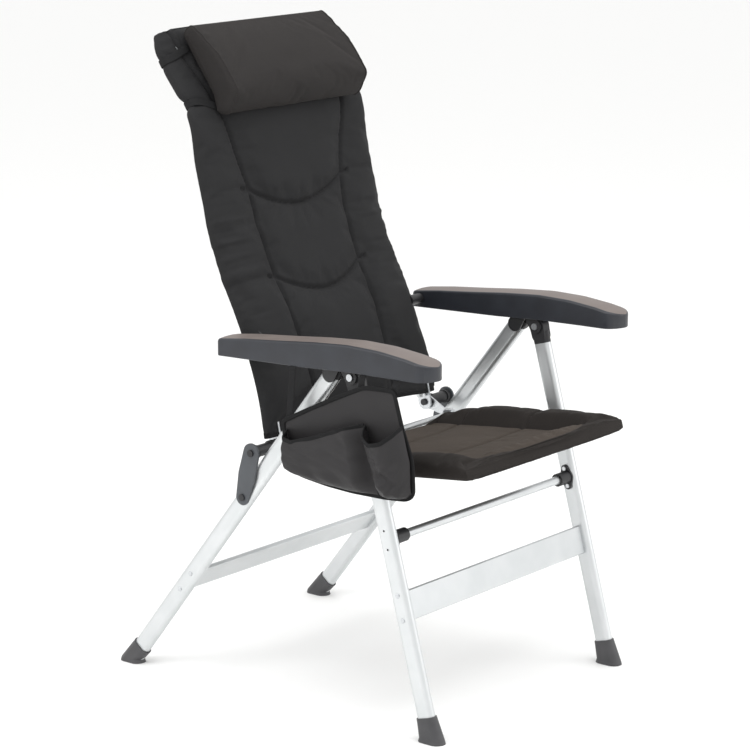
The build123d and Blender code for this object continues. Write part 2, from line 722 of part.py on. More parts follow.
for name, side in SIDES.items():
    width = ARM_OUTER - ARM_INNER
    cavity = arm_body(side, ARM_WALL, TOP_WALL, 30)
    with BuildPart() as shell:
        add(arm_body(side, 0, 0, 0).part)
        top_edges = shell.edges().filter_by(lambda e: e.center().Z > 672 and abs(e.tangent_at(0.5).Z) < 0.6)
        fillet(top_edges, 4)
        add(cavity.part, mode=Mode.SUBTRACT)
        with BuildSketch(outward(side, ARM_INNER - 1, width + 1 - ARM_WALL / 2)):
            with Locations(ARM_PIVOT):
                Circle(PIN_R + RUNNING)
        extrude(amount=width + 1 - ARM_WALL / 2, mode=Mode.SUBTRACT)
    save(shell.part, f"armrest_{name}")

    with BuildPart() as rack:
        with BuildSketch(outward(side, LEG_INNER + 3, LEG_WIDTH - 6)):
            with BuildLine():
                Polyline(*RACK, close=True)
            make_face()
            with Locations(*[(CATCH_PIN[0] - i * NOTCH_PITCH, 674) for i in range(NOTCH_COUNT)]):
                Circle(6.5, mode=Mode.SUBTRACT)
        extrude(amount=LEG_WIDTH - 6)
    save(rack.part, f"armrest_rack_{name}")

    with BuildPart() as arm_pin:
        pin_start = BACK_PLATE_X - 0.2
        pin_end = ARM_OUTER - ARM_WALL / 2 - 0.2
        with BuildSketch(outward(side, pin_start, pin_end - pin_start)):
            with Locations(ARM_PIVOT):
                Circle(PIN_R)
        extrude(amount=pin_end - pin_start)
        with BuildSketch(outward(side, BACK_PLATE_X + PLATE_THICKNESS + 0.2, 31)):
            with Locations(ARM_PIVOT):
                Circle(10)
        extrude(amount=31)
    save(arm_pin.part, f"arm_pin_{name}")


# Side pocket under the right armrest

POCKET_PANEL_X = 320.5
PANEL_THICKNESS = 2
PANEL = [
    (-60, 548), (-243, 637), (-312, 637), (-330, 572), (-350, 520), (-354, 460), (-340, 451), (-219, 445),
    (-95, 456), (-72, 480),
]
BOOK_DEPTH = 34
BOTTLE_DEPTH = 44

with BuildPart() as pocket_panel:
    with BuildSketch(outward(-1, POCKET_PANEL_X, PANEL_THICKNESS)):
        with BuildLine():
            Polyline(*PANEL, close=True)
        make_face()
    extrude(amount=PANEL_THICKNESS)
save(pocket_panel.part, "pocket_panel")


def pocket_shell(outline, rim, depth):
    # a U-shaped bag on the panel's outer face, open along its rim
    with BuildPart() as bag:
        with BuildSketch(outward(-1, POCKET_PANEL_X + PANEL_THICKNESS + 0.1, depth)):
            with BuildLine():
                Polyline(*outline, close=True)
            make_face()
        extrude(amount=depth)
        with BuildSketch(outward(-1, POCKET_PANEL_X + PANEL_THICKNESS + 0.1, depth - 2)):
            with BuildLine():
                Polyline(*rim, close=True)
            make_face()
        extrude(amount=depth - 2, mode=Mode.SUBTRACT)
    return bag.part


book_outline = [(-84, 520), (-243, 572), (-277, 462), (-222, 452), (-100, 462), (-84, 476)]
book_hollow = [(-86, 600), (-241, 600), (-274, 464), (-222, 454), (-101, 464), (-86, 477)]
save(pocket_shell(book_outline, book_hollow, BOOK_DEPTH), "book_pocket")
bottle_outline = [(-262, 546), (-334, 574), (-350, 518), (-350, 462), (-282, 460)]
bottle_hollow = [(-259.5, 600), (-332, 600), (-332, 573), (-348, 517), (-348, 464), (-282, 462)]
save(pocket_shell(bottle_outline, bottle_hollow, BOTTLE_DEPTH), "bottle_pocket")

with BuildPart() as pocket_straps:
    for y in (-304, -80):
        with BuildSketch(outward(-1, POCKET_PANEL_X, PANEL_THICKNESS)):
            with Locations((y, 640 if y < -200 else 590)):
                Rectangle(14, 4)
        extrude(amount=PANEL_THICKNESS)
save(pocket_straps.part, "pocket_straps")
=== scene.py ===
import bpy
import json
from math import cos, exp, pi, radians, sin, sqrt, tau
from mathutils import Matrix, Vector, noise


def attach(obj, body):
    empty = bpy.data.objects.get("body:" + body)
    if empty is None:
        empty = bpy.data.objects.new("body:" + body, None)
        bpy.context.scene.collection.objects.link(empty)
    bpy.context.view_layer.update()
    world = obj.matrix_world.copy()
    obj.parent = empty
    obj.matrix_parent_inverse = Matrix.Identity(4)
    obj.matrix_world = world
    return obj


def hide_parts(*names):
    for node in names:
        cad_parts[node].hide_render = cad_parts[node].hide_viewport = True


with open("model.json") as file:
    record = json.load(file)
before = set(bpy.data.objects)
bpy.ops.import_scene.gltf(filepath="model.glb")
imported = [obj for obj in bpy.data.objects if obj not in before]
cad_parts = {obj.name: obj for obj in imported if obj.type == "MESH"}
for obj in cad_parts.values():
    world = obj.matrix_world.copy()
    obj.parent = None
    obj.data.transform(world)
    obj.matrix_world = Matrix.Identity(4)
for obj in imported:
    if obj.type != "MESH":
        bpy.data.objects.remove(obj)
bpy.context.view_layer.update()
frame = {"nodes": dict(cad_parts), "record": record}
cadNodes = frame["nodes"]
mm = 0.001
print("frame loaded:", len(cadNodes), "nodes")


# colours are written as sRGB hex and turned to linear here
def linear(hexColour):
    parts = [int(hexColour[i:i + 2], 16) / 255 for i in (1, 3, 5)]
    return tuple(c / 12.92 if c <= 0.04045 else ((c + 0.055) / 1.055) ** 2.4 for c in parts) + (1.0,)


# one node with its settings; an input given as a (node, socket) pair is linked
def addNode(tree, kind, settings=None, **inputs):
    node = tree.nodes.new(kind)
    for key, value in (settings or {}).items():
        setattr(node, key, value)
    for key, value in inputs.items():
        name = int(key[1:]) if key[0] == "i" and key[1:].isdigit() else key.replace("_", " ")
        if isinstance(value, tuple) and len(value) == 2 and hasattr(value[0], "outputs"):
            tree.links.new(value[0].outputs[value[1]], node.inputs[name])
        else:
            node.inputs[name].default_value = value
    return node


def newMaterial(name):
    material = bpy.data.materials.new(name)
    material.use_nodes = True
    tree = material.node_tree
    tree.nodes.clear()
    shader = tree.nodes.new("ShaderNodeBsdfPrincipled")
    output = tree.nodes.new("ShaderNodeOutputMaterial")
    tree.links.new(shader.outputs["BSDF"], output.inputs["Surface"])
    return material, tree, shader


def mathNode(tree, operation, *values):
    inputs = {f"i{k}": value for k, value in enumerate(values)}
    return addNode(tree, "ShaderNodeMath", {"operation": operation}, **inputs)


# a ramp between the given colours, driven by one socket
def colourRamp(tree, driver, stops):
    node = addNode(tree, "ShaderNodeValToRGB", Fac=driver)
    ramp = node.color_ramp
    while len(ramp.elements) < len(stops):
        ramp.elements.new(0.5)
    for element, (position, colour) in zip(ramp.elements, stops):
        element.position = position
        element.color = linear(colour)
    return node


# anodised aluminium: extruded tube, satin with faint draw lines along it and a soft mottled brightness
def anodisedAluminium():
    material, tree, shader = newMaterial("anodisedAluminium")
    shader.inputs["Metallic"].default_value = 0.85
    place = addNode(tree, "ShaderNodeTexCoord")
    stretched = addNode(tree, "ShaderNodeMapping", Vector=(place, "Object"), Scale=(900, 25, 25))
    lines = addNode(tree, "ShaderNodeTexNoise", Vector=(stretched, "Vector"), Scale=1.0, Detail=3.0)
    cloud = addNode(tree, "ShaderNodeTexNoise", Vector=(place, "Object"), Scale=18.0, Detail=2.0)
    tone = colourRamp(tree, (cloud, "Fac"), [(0.3, "#cdd0d1"), (0.8, "#d6d8d9")])
    tree.links.new(tone.outputs["Color"], shader.inputs["Base Color"])
    rough = addNode(tree, "ShaderNodeMapRange", Value=(lines, "Fac"), i3=0.30, i4=0.44)
    tree.links.new(rough.outputs["Result"], shader.inputs["Roughness"])
    bump = addNode(tree, "ShaderNodeBump", Height=(lines, "Fac"), Strength=0.12, Distance=0.0002)
    tree.links.new(bump.outputs["Normal"], shader.inputs["Normal"])
    return material


# zinc-plated steel: bolts, rivets and hinge plates, brighter and a little smoother than the tubes
def zincPlatedSteel():
    material, tree, shader = newMaterial("zincPlatedSteel")
    shader.inputs["Metallic"].default_value = 1.0
    place = addNode(tree, "ShaderNodeTexCoord")
    spangle = addNode(tree, "ShaderNodeTexVoronoi", Vector=(place, "Object"), Scale=420.0)
    tone = colourRamp(tree, (spangle, "Distance"), [(0.0, "#b9bcbf"), (1.0, "#d2d4d6")])
    tree.links.new(tone.outputs["Color"], shader.inputs["Base Color"])
    scratch = addNode(tree, "ShaderNodeTexNoise", Vector=(place, "Object"), Scale=350.0, Detail=4.0)
    rough = addNode(tree, "ShaderNodeMapRange", Value=(scratch, "Fac"), i3=0.22, i4=0.42)
    tree.links.new(rough.outputs["Result"], shader.inputs["Roughness"])
    return material


# injection-moulded plastic with a fine spark-eroded grain and slightly rubbed high spots
def mouldedPlastic(name, colour, worn, roughness, grain=900.0, depth=0.00012, coat=0.0):
    material, tree, shader = newMaterial(name)
    shader.inputs["IOR"].default_value = 1.49
    shader.inputs["Coat Weight"].default_value = coat
    shader.inputs["Coat Roughness"].default_value = 0.25
    place = addNode(tree, "ShaderNodeTexCoord")
    speckle = addNode(tree, "ShaderNodeTexNoise", Vector=(place, "Object"), Scale=grain, Detail=2.0)
    cloud = addNode(tree, "ShaderNodeTexNoise", Vector=(place, "Object"), Scale=22.0, Detail=3.0)
    tone = colourRamp(tree, (cloud, "Fac"), [(0.35, colour), (0.8, worn)])
    tree.links.new(tone.outputs["Color"], shader.inputs["Base Color"])
    low, high = roughness - 0.06, roughness + 0.06
    rough = addNode(tree, "ShaderNodeMapRange", Value=(cloud, "Fac"), i3=low, i4=high)
    tree.links.new(rough.outputs["Result"], shader.inputs["Roughness"])
    bump = addNode(tree, "ShaderNodeBump", Height=(speckle, "Fac"), Strength=0.35, Distance=depth)
    tree.links.new(bump.outputs["Normal"], shader.inputs["Normal"])
    return material


# woven cloth on the piece's own UV map, which is in metres along the threads
def wovenCloth(
    name, dark, light, thread, roughness=0.85, sheen=0.25, mottle=0.5, depth=0.0004, warm=None,
):
    material, tree, shader = newMaterial(name)
    shader.inputs["IOR"].default_value = 1.45
    shader.inputs["Specular IOR Level"].default_value = 0.3
    shader.inputs["Sheen Weight"].default_value = sheen
    shader.inputs["Sheen Roughness"].default_value = 0.45
    place = addNode(tree, "ShaderNodeUVMap", {"uv_map": "threads"})
    split = addNode(tree, "ShaderNodeSeparateXYZ", Vector=(place, "UV"))
    turns = tau / thread
    wefts = mathNode(tree, "MULTIPLY", (split, "X"), turns)
    warps = mathNode(tree, "MULTIPLY", (split, "Y"), turns)
    weftWave = mathNode(tree, "SINE", (wefts, "Value"))
    warpWave = mathNode(tree, "SINE", (warps, "Value"))
    weave = mathNode(tree, "MULTIPLY", (weftWave, "Value"), (warpWave, "Value"))
    lift = addNode(tree, "ShaderNodeMapRange", Value=(weave, "Value"), i1=-1.0, i2=1.0, i3=0.0, i4=1.0)
    cloud = addNode(tree, "ShaderNodeTexNoise", Vector=(place, "UV"), Scale=14.0, Detail=4.0, Roughness=0.6)
    slub = addNode(tree, "ShaderNodeTexNoise", Vector=(place, "UV"), Scale=520.0, Detail=2.0)
    mixed = mathNode(tree, "MULTIPLY_ADD", (cloud, "Fac"), mottle, (lift, "Result"))
    graded = mathNode(tree, "MULTIPLY_ADD", (slub, "Fac"), 0.5, (mixed, "Value"))
    scaled = addNode(tree, "ShaderNodeMapRange", Value=(graded, "Value"), i1=0.15, i2=1.75, i3=0.0, i4=1.0)
    tone = colourRamp(tree, (scaled, "Result"), [(0.0, dark), (1.0, light)])
    tree.links.new(tone.outputs["Color"], shader.inputs["Base Color"])
    shader.inputs["Sheen Tint"].default_value = linear(warm or light)
    shader.inputs["Roughness"].default_value = roughness
    bump = addNode(tree, "ShaderNodeBump", Height=(graded, "Value"), Strength=0.5, Distance=depth)
    tree.links.new(bump.outputs["Normal"], shader.inputs["Normal"])
    return material


aluminium = anodisedAluminium()
zincSteel = zincPlatedSteel()
blackNylonPlastic = mouldedPlastic("blackGlassFilledNylon", "#1d1d1f", "#2a2a2c", 0.45)
footPlastic = mouldedPlastic("charcoalFootPolypropylene", "#3a3a3c", "#4b4a4c", 0.5)
linkPaint = mouldedPlastic("greyPowderCoat", "#404347", "#4a4d51", 0.42, grain=1400.0, depth=0.0001)
armPlastic = mouldedPlastic(
    "slateSatinPolypropylene", "#1f2127", "#262930", 0.42, grain=700.0, depth=0.00008, coat=0.08,
)
armTopPlastic = mouldedPlastic(
    "taupeMattPolypropylene", "#6a615d", "#736a65", 0.55, grain=700.0, depth=0.00008,
)
backCloth = wovenCloth("anthraciteWovenPolyester", "#151516", "#29292a", 0.0026, sheen=0.12, warm="#4a4644")
seatCloth = wovenCloth("brownGreyWovenPolyester", "#2a2521", "#4a423b", 0.0026, sheen=0.15, warm="#6a5f56")
seatEdgeCloth = wovenCloth("darkRibbedPolyester", "#171514", "#2b2623", 0.0034, sheen=0.12, warm="#57504b")
strapCloth = wovenCloth("blackElasticWebbing", "#0f0f10", "#232324", 0.0022, mottle=0.2)
pocketCloth = wovenCloth(
    "coatedCharcoalNylon", "#201f20", "#312f30", 0.0016, roughness=0.5, sheen=0.05, mottle=0.3, depth=0.0002,
)
pillowCloth = wovenCloth("anthraciteSoftTwill", "#181717", "#2e2b2a", 0.0022, sheen=0.15, warm="#5a524c")
bindingCloth = wovenCloth("blackBindingTape", "#0c0c0d", "#1c1c1d", 0.0018, mottle=0.2)
print("materials made")

nodeFinish = {
    "leg_aluminium": aluminium,
    "bracket_steel": zincSteel,
    "black_plastic": blackNylonPlastic,
    "foot_plastic": footPlastic,
    "link_metal": linkPaint,
    "arm_plastic": armPlastic,
    "pad_fabric": backCloth,
    "strap_fabric": strapCloth,
    "pocket_fabric": pocketCloth,
}
darkHardware = ("arm_pin_", "arm_lug_", "link_bolts", "hinge_axle_")
slotOfNode = {part["node"]: part["material_slot"] for part in frame["record"]["subparts"]}
for nodeName, node in cadNodes.items():
    node.data.materials.clear()
    painted = nodeName.startswith(darkHardware)
    node.data.materials.append(blackNylonPlastic if painted else nodeFinish[slotOfNode[nodeName]])


def deselectAll():
    if bpy.context.mode != "OBJECT":
        bpy.ops.object.mode_set(mode="OBJECT")
    bpy.ops.object.select_all(action="DESELECT")


def makeActive(piece):
    deselectAll()
    piece.select_set(True)
    bpy.context.view_layer.objects.active = piece


def applyModifiers(piece):
    makeActive(piece)
    for modifier in list(piece.modifiers):
        bpy.ops.object.modifier_apply(modifier=modifier.name)


def smooth(piece, angle=35):
    makeActive(piece)
    bpy.ops.object.shade_smooth_by_angle(angle=radians(angle))


def newPiece(name, vertices, faces, uvs=None, material=None):
    mesh = bpy.data.meshes.new(name)
    mesh.from_pydata([tuple(v) for v in vertices], [], faces)
    if uvs:
        layer = mesh.uv_layers.new(name="threads")
        for polygon in mesh.polygons:
            for loop in polygon.loop_indices:
                layer.data[loop].uv = uvs[mesh.loops[loop].vertex_index]
    mesh.update()
    piece = bpy.data.objects.new(name, mesh)
    bpy.context.scene.collection.objects.link(piece)
    if material:
        mesh.materials.append(material)
    return piece


# an open or closed line of points, walked at even steps
def evenSteps(points, count, closed=False):
    line = [Vector(p) for p in points]
    if closed:
        line.append(line[0])
    lengths = [0.0]
    for a, b in zip(line, line[1:]):
        lengths.append(lengths[-1] + (b - a).length)
    total = lengths[-1]
    steps = count if closed else count - 1
    result = []
    k = 0
    for i in range(count):
        target = total * i / steps
        while k < len(lengths) - 2 and lengths[k + 1] < target:
            k += 1
        share = (target - lengths[k]) / max(1e-9, lengths[k + 1] - lengths[k])
        result.append(line[k].lerp(line[k + 1], min(1.0, share)))
    return result, total


# a smooth line through side-view points in millimetres: place and direction at a share of its length
class SideLine:
    def __init__(self, points, perSpan=24):
        knots = [Vector((0, y * mm, z * mm)) for y, z in points]
        ends = [knots[0] * 2 - knots[1]] + knots + [knots[-1] * 2 - knots[-2]]
        dense = []
        for a, b, c, d in zip(ends, ends[1:], ends[2:], ends[3:]):
            for i in range(perSpan):
                t = i / perSpan
                square = (2 * a - 5 * b + 4 * c - d) * t * t
                cubic = (3 * b - a - 3 * c + d) * t ** 3
                dense.append(0.5 * ((2 * b) + (c - a) * t + square + cubic))
        dense.append(knots[-1])
        self.points, self.length = evenSteps(dense, 400)

    def at(self, share):
        position = min(max(share, 0.0), 1.0) * (len(self.points) - 1)
        i = min(int(position), len(self.points) - 2)
        return self.points[i].lerp(self.points[i + 1], position - i)

    def normal(self, share):
        along = (self.at(share + 0.02) - self.at(share - 0.02)).normalized()
        return Vector((0, -along.z, along.y)) if along.z > 0 else Vector((0, along.z, -along.y))


# a padded shell in flat room: u across, v along, w out of the face; closed at both ends by its own rings
def flatShell(name, spec, material):
    count = spec["around"]
    power = spec["squareness"]
    loop = []
    for i in range(720):
        angle = tau * i / 720 - pi / 2
        c, s = cos(angle), sin(angle)
        reach = (abs(c) ** power + abs(s) ** power) ** (-1 / power)
        loop.append(Vector((c * reach * spec["halfWidth"], s * reach * spec["halfThick"], 0)))
    ring, girth = evenSteps(loop, count, closed=True)
    rows = spec["along"]
    vertices, uvs = [], []
    for j in range(rows):
        v = j / (rows - 1)
        width, thick = spec["taper"](v)
        for i, point in enumerate(ring):
            vertices.append((point.x * width, v * spec["length"], point.y * thick))
            uvs.append((girth * i / count, v * spec["length"]))
    faces = []
    for j in range(rows - 1):
        for i in range(count):
            k = (i + 1) % count
            faces.append((j * count + i, j * count + k, (j + 1) * count + k, (j + 1) * count + i))
    half = count // 2
    for row, flip in ((0, False), (rows - 1, True)):
        start = row * count
        for i in range(half):
            face = [start + i, start + (count - i) % count, start + count - i - 1, start + i + 1]
            face = list(dict.fromkeys(face))
            if len(face) > 2:
                faces.append(tuple(face if not flip else face[::-1]))
    shell = newPiece(name, vertices, faces, uvs, material)
    faceOutward(shell)
    return shell


# blow the shell up with cloth pressure between its pinned seams, then cap how far any point went
def puff(shell, pinOf, pressure, cap, loose=0.0, frames=20):
    rest = [v.co.copy() for v in shell.data.vertices]
    group = shell.vertex_groups.new(name="pins")
    for index, place in enumerate(rest):
        weight = pinOf(place)
        if weight > 0:
            group.add([index], weight, "REPLACE")
    cloth = shell.modifiers.new("puff", "CLOTH")
    settings = cloth.settings
    settings.quality = 6
    settings.mass = 0.3
    settings.tension_stiffness = 18
    settings.compression_stiffness = 12
    settings.shear_stiffness = 6
    settings.bending_stiffness = 0.6
    settings.use_pressure = True
    settings.uniform_pressure_force = pressure
    settings.shrink_min = -loose
    settings.vertex_group_mass = "pins"
    settings.effector_weights.gravity = 0
    cloth.collision_settings.use_collision = False
    cloth.point_cache.frame_start = 1
    cloth.point_cache.frame_end = frames
    for frameNumber in range(1, frames + 1):
        bpy.context.scene.frame_set(frameNumber)
    applyModifiers(shell)
    bpy.context.scene.frame_set(1)
    for vertex, place in zip(shell.data.vertices, rest):
        move = vertex.co - place
        if move.length > cap:
            vertex.co = place + move.normalized() * (cap * (1 + 0.35 * (1 - cap / move.length)))
    shell.vertex_groups.clear()


def subdivideOnce(piece):
    modifier = piece.modifiers.new("finer", "SUBSURF")
    modifier.levels = modifier.render_levels = 1
    applyModifiers(piece)


def groove(distance, width, depth):
    return depth * exp(-(distance / width) ** 2)


def clamp(value, low=0.0, high=1.0):
    return max(low, min(high, value))


def ease(value):
    t = clamp(value)
    return t * t * (3 - 2 * t)


# a value read off a short table of (position, value) pairs
def readOff(table, position):
    for (a, first), (b, second) in zip(table, table[1:]):
        if position <= b:
            return first + (second - first) * clamp((position - a) / (b - a))
    return table[-1][1]


def faceOutward(piece):
    makeActive(piece)
    bpy.ops.object.mode_set(mode="EDIT")
    bpy.ops.mesh.select_all(action="SELECT")
    bpy.ops.mesh.normals_make_consistent(inside=False)
    bpy.ops.object.mode_set(mode="OBJECT")


# a flat band with rounded edges swept along points, its width lying along the matching directions
def tape(name, points, widthways, width, thick, material, closed=False):
    count = len(points)
    section = []
    for i in range(12):
        angle = tau * i / 12 + pi / 12
        c, s = cos(angle), sin(angle)
        wide = width / 2 * abs(c) ** 0.45 * (1 if c > 0 else -1)
        high = thick / 2 * abs(s) ** 0.45 * (1 if s > 0 else -1)
        section.append((wide, high))
    vertices, uvs, run = [], [], 0.0
    for i, point in enumerate(points):
        before = points[i - 1] if closed or i > 0 else point
        after = points[(i + 1) % count] if closed or i < count - 1 else point
        along = (after - before).normalized()
        across = (widthways[i] - along * widthways[i].dot(along)).normalized()
        out = along.cross(across)
        run += (point - points[i - 1]).length if i else 0.0
        for k, (a, b) in enumerate(section):
            vertices.append(point + across * a + out * b)
            uvs.append((run, a + b))
    faces = []
    for i in range(count if closed else count - 1):
        for k in range(12):
            a, b = i * 12 + k, i * 12 + (k + 1) % 12
            c, d = ((i + 1) % count) * 12 + (k + 1) % 12, ((i + 1) % count) * 12 + k
            faces.append((a, b, c, d))
    if not closed:
        faces.append(tuple(range(11, -1, -1)))
        faces.append(tuple((count - 1) * 12 + k for k in range(12)))
    band = newPiece(name, vertices, faces, uvs, material)
    faceOutward(band)
    smooth(band, 50)
    return band


def pieceArea(piece):
    return sum(polygon.area for polygon in piece.data.polygons)


# backrest: one long padded cover over the bent side tubes
backSpec = {
    "line": [
        (44, 487), (60, 565), (100, 675), (147, 765), (180, 851),
        (208, 965), (228, 1060), (293, 1155), (322, 1210),
    ],
    "halfWidth": 246 * mm, "halfThick": 16.5 * mm, "squareness": 4.0, "around": 168, "along": 132,
    "seamWidth": 4.0 * mm, "seamDepth": 6 * mm, "hemArch": 12 * mm,
    "sideSeam": [
        (0, 0.112), (0.17, 0.118), (0.36, 0.123), (0.53, 0.130),
        (0.59, 0.135), (0.67, 0.152), (0.76, 0.172), (1, 0.21),
    ],
    "bowSeams": [(0.530, 0.053), (0.309, 0.052)],
    "strapPinch": [(0.805, 0.055), (0.922, 0.02)],
    "pressure": 3.2, "cap": 9 * mm, "loose": 0.02,
}
backLine = SideLine(backSpec["line"])
backSpec["length"] = backLine.length


def backTaper(v):
    end = min(1.0, v / 0.018, (1 - v) / 0.03)
    rounded = sqrt(max(0.0, 1 - (1 - end) ** 2))
    corner = min(1.0, (1 - v) / 0.07)
    width = 1 - 0.09 * (1 - sqrt(max(0.0, 1 - (1 - corner) ** 2))) + 0.02 * (1 - min(1.0, v / 0.3))
    for station, depth in backSpec["strapPinch"]:
        width -= depth * exp(-((v - station) / 0.016) ** 2)
    return width, 0.4 + 0.6 * rounded


backSpec["taper"] = backTaper


def backSideSeam(v):
    return readOff(backSpec["sideSeam"], v)


def bowSeamAt(u, base, rise):
    side = backSideSeam(base + rise)
    if abs(u) <= side:
        return base + rise * (abs(u) / side) ** 1.9
    return base + rise + 0.2 * (abs(u) - side)


def backSeamDistance(u, v):
    side = backSideSeam(v)
    nearest = abs(abs(u) - side)
    for base, rise in backSpec["bowSeams"]:
        if abs(u) < side + 0.022:
            nearest = min(nearest, abs(v - bowSeamAt(u, base, rise)) * backSpec["length"] * 0.92)
    return nearest


def backPin(place):
    u, v = place.x, place.y / backSpec["length"]
    if place.z < -0.2 * backSpec["halfThick"]:
        return 0.9
    if backSeamDistance(u, v) < 0.0045:
        return 1.0
    if v < 0.012 or v > 0.985:
        return 0.8
    return 0.0


def hemLift(u, run):
    return backSpec["hemArch"] * clamp(1 - (u / 0.215) ** 2) * clamp(1 - run / 0.10)


def mapBack(place):
    run = place.y + hemLift(place.x, place.y)
    share = run / backSpec["length"]
    centre = backLine.at(share)
    return Vector((place.x, centre.y, centre.z)) + backLine.normal(share) * place.z


# tucks run in from the outer edge of each bolster, deepest at hip and shoulder height
def backTuck(u, v, side):
    out = (abs(u) - side) / 0.11
    if out <= 0:
        return 0.0
    where = exp(-((v - 0.45) / 0.16) ** 2)
    wave = noise.noise(Vector((u * 5, v * 30, 3.1))) + 0.5 * noise.noise(Vector((u * 9, v * 74, 8.2)))
    return 0.0050 * where * max(wave, -0.3) * ease(out * 1.6)


backCover = flatShell("backCover", backSpec, backCloth)
puff(backCover, backPin, backSpec["pressure"], backSpec["cap"], backSpec["loose"])
subdivideOnce(backCover)
for vertex in backCover.data.vertices:
    place = vertex.co.copy()
    u, v = place.x, place.y / backSpec["length"]
    tuck = backTuck(u, v, backSideSeam(v))
    place.x += tuck * 0.5 * (1 if u > 0 else -1)
    if place.z > 0:
        face = clamp((0.236 - abs(u)) / 0.02)
        place.z += tuck - face * groove(backSeamDistance(u, v), backSpec["seamWidth"], backSpec["seamDepth"])
        place.z += 0.0012 * face * noise.noise(Vector((u * 9, v * 12, 5.5)))
    else:
        place.z -= 0.0020 * noise.noise(Vector((u * 7, v * 9, 1.4)))
        place.z += 0.0025 * exp(-((abs(u) - 0.196) / 0.006) ** 2)
    vertex.co = mapBack(place)
smooth(backCover, 60)
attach(backCover, "backrest")
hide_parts("back_pad")


# bound hem round the cover's lower edge
def backRing(v, halfWidth, halfThick, count=120, tilt=0.0):
    points, directions = [], []
    for i in range(count):
        angle = tau * i / count
        c, s = cos(angle), sin(angle)
        reach = (abs(c) ** 3.6 + abs(s) ** 3.6) ** (-1 / 3.6)
        u, w = c * reach * halfWidth, s * reach * halfThick
        shift = tilt * ease((halfWidth - abs(u)) / 0.07) if s > 0 else 0.0
        run = v * backSpec["length"] + shift
        points.append(mapBack(Vector((u, run, w))))
        ahead, behind = mapBack(Vector((u, run + 0.004, w))), mapBack(Vector((u, run - 0.004, w)))
        directions.append((ahead - behind).normalized())
    return points, directions


hemSpec = {"station": 0.004, "halfWidth": 0.2515, "halfThick": 0.0115, "width": 0.011, "thick": 0.0022}
ringPoints, ringDirections = backRing(hemSpec["station"], hemSpec["halfWidth"], hemSpec["halfThick"])
backHem = tape(
    "backHem", ringPoints, ringDirections, hemSpec["width"], hemSpec["thick"], bindingCloth, closed=True,
)
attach(backHem, "backrest")
print("backrest cover made")

# elastic straps that hold the pillow: two flat bands right round the backrest
strapSpec = {
    "width": 14 * mm, "thick": 1.4 * mm, "halfThick": 0.0225,
    "bands": [(0.805, 0.2355, -0.020), (0.922, 0.2435, 0.016)],
}
strapPieces = []
for station, half, tilt in strapSpec["bands"]:
    ringPoints, ringDirections = backRing(station, half, strapSpec["halfThick"], tilt=tilt)
    name = "upperPillowStrap" if strapPieces else "lowerPillowStrap"
    band = tape(
        name, ringPoints, ringDirections, strapSpec["width"], strapSpec["thick"], strapCloth, closed=True,
    )
    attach(band, "backrest")
    strapPieces.append(band)
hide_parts("pillow_straps")
print("pillow straps made")

# seat: bolsters stand up over the side tubes, the quilted middle lies lower between them
seatPivot = Vector((0, 42 * mm, 467 * mm))
seatFront = Vector((0, -239 * mm, 474 * mm))
seatSpec = {
    "halfWidth": 245.5 * mm, "halfThick": 16 * mm, "squareness": 7.0, "around": 176, "along": 84,
    "rear": 66 * mm, "front": 458 * mm, "rise": 0.081, "drop": 25 * mm,
    "sideSeam": 0.166, "bolster": 19 * mm, "middle": -3 * mm, "frontLip": 15 * mm,
    "bowSeams": [(0.16, 0.035), (0.544, 0.04)],
    "seamWidth": 3.8 * mm, "seamDepth": 5 * mm, "pressure": 2.6, "cap": 7 * mm, "loose": 0.02,
}
seatSpec["length"] = seatSpec["front"] - seatSpec["rear"]
seatForward = (seatFront - seatPivot).normalized()
seatUp = Vector((0, seatForward.z, -seatForward.y))


def seatTaper(v):
    end = min(1.0, v / 0.03, (1 - v) / 0.035)
    corner = min(1.0, (1 - v) / 0.06)
    width = 1.0 - 0.018 * (1 - sqrt(max(0.0, 1 - (1 - corner) ** 2)))
    return width, 0.62 + 0.38 * sqrt(max(0.0, 1 - (1 - end) ** 2))


seatSpec["taper"] = seatTaper


def seatTop(u, v):
    outer = ease((abs(u) - seatSpec["sideSeam"] + 0.004) / 0.032)
    lip = ease((v - 0.80) / 0.13)
    middle = seatSpec["middle"] + (seatSpec["frontLip"] - seatSpec["middle"]) * lip
    bolster = seatSpec["bolster"] - 0.003 * ease((v - 0.75) / 0.25) - 0.006 * ease((0.2 - v) / 0.2)
    return middle + (bolster - middle) * outer


def mapSeat(place):
    distance = seatSpec["rear"] + place.y
    height = seatSpec["rise"] * distance - seatSpec["drop"] + place.z
    point = seatPivot + seatForward * distance + seatUp * height
    return Vector((place.x, point.y, point.z))


def seatFrontSeam(u):
    return 0.972 - 0.075 * (abs(u) / seatSpec["sideSeam"]) ** 3


def seatSeamDistance(u, v):
    side = seatSpec["sideSeam"]
    nearest = abs(abs(u) - side) if v < 0.90 else 1.0
    for base, dip in seatSpec["bowSeams"]:
        line = base + dip * cos(min(1.0, abs(u) / side) * pi / 2)
        if abs(u) < 0.225:
            nearest = min(nearest, abs(v - line) * seatSpec["length"])
    if abs(u) < side + 0.012:
        nearest = min(nearest, abs(v - seatFrontSeam(u)) * seatSpec["length"])
    return nearest


def seatPin(place):
    u, v = place.x, place.y / seatSpec["length"]
    if place.z < -0.2 * seatSpec["halfThick"]:
        return 0.9
    if seatSeamDistance(u, v) < 0.0045:
        return 1.0
    return 0.0


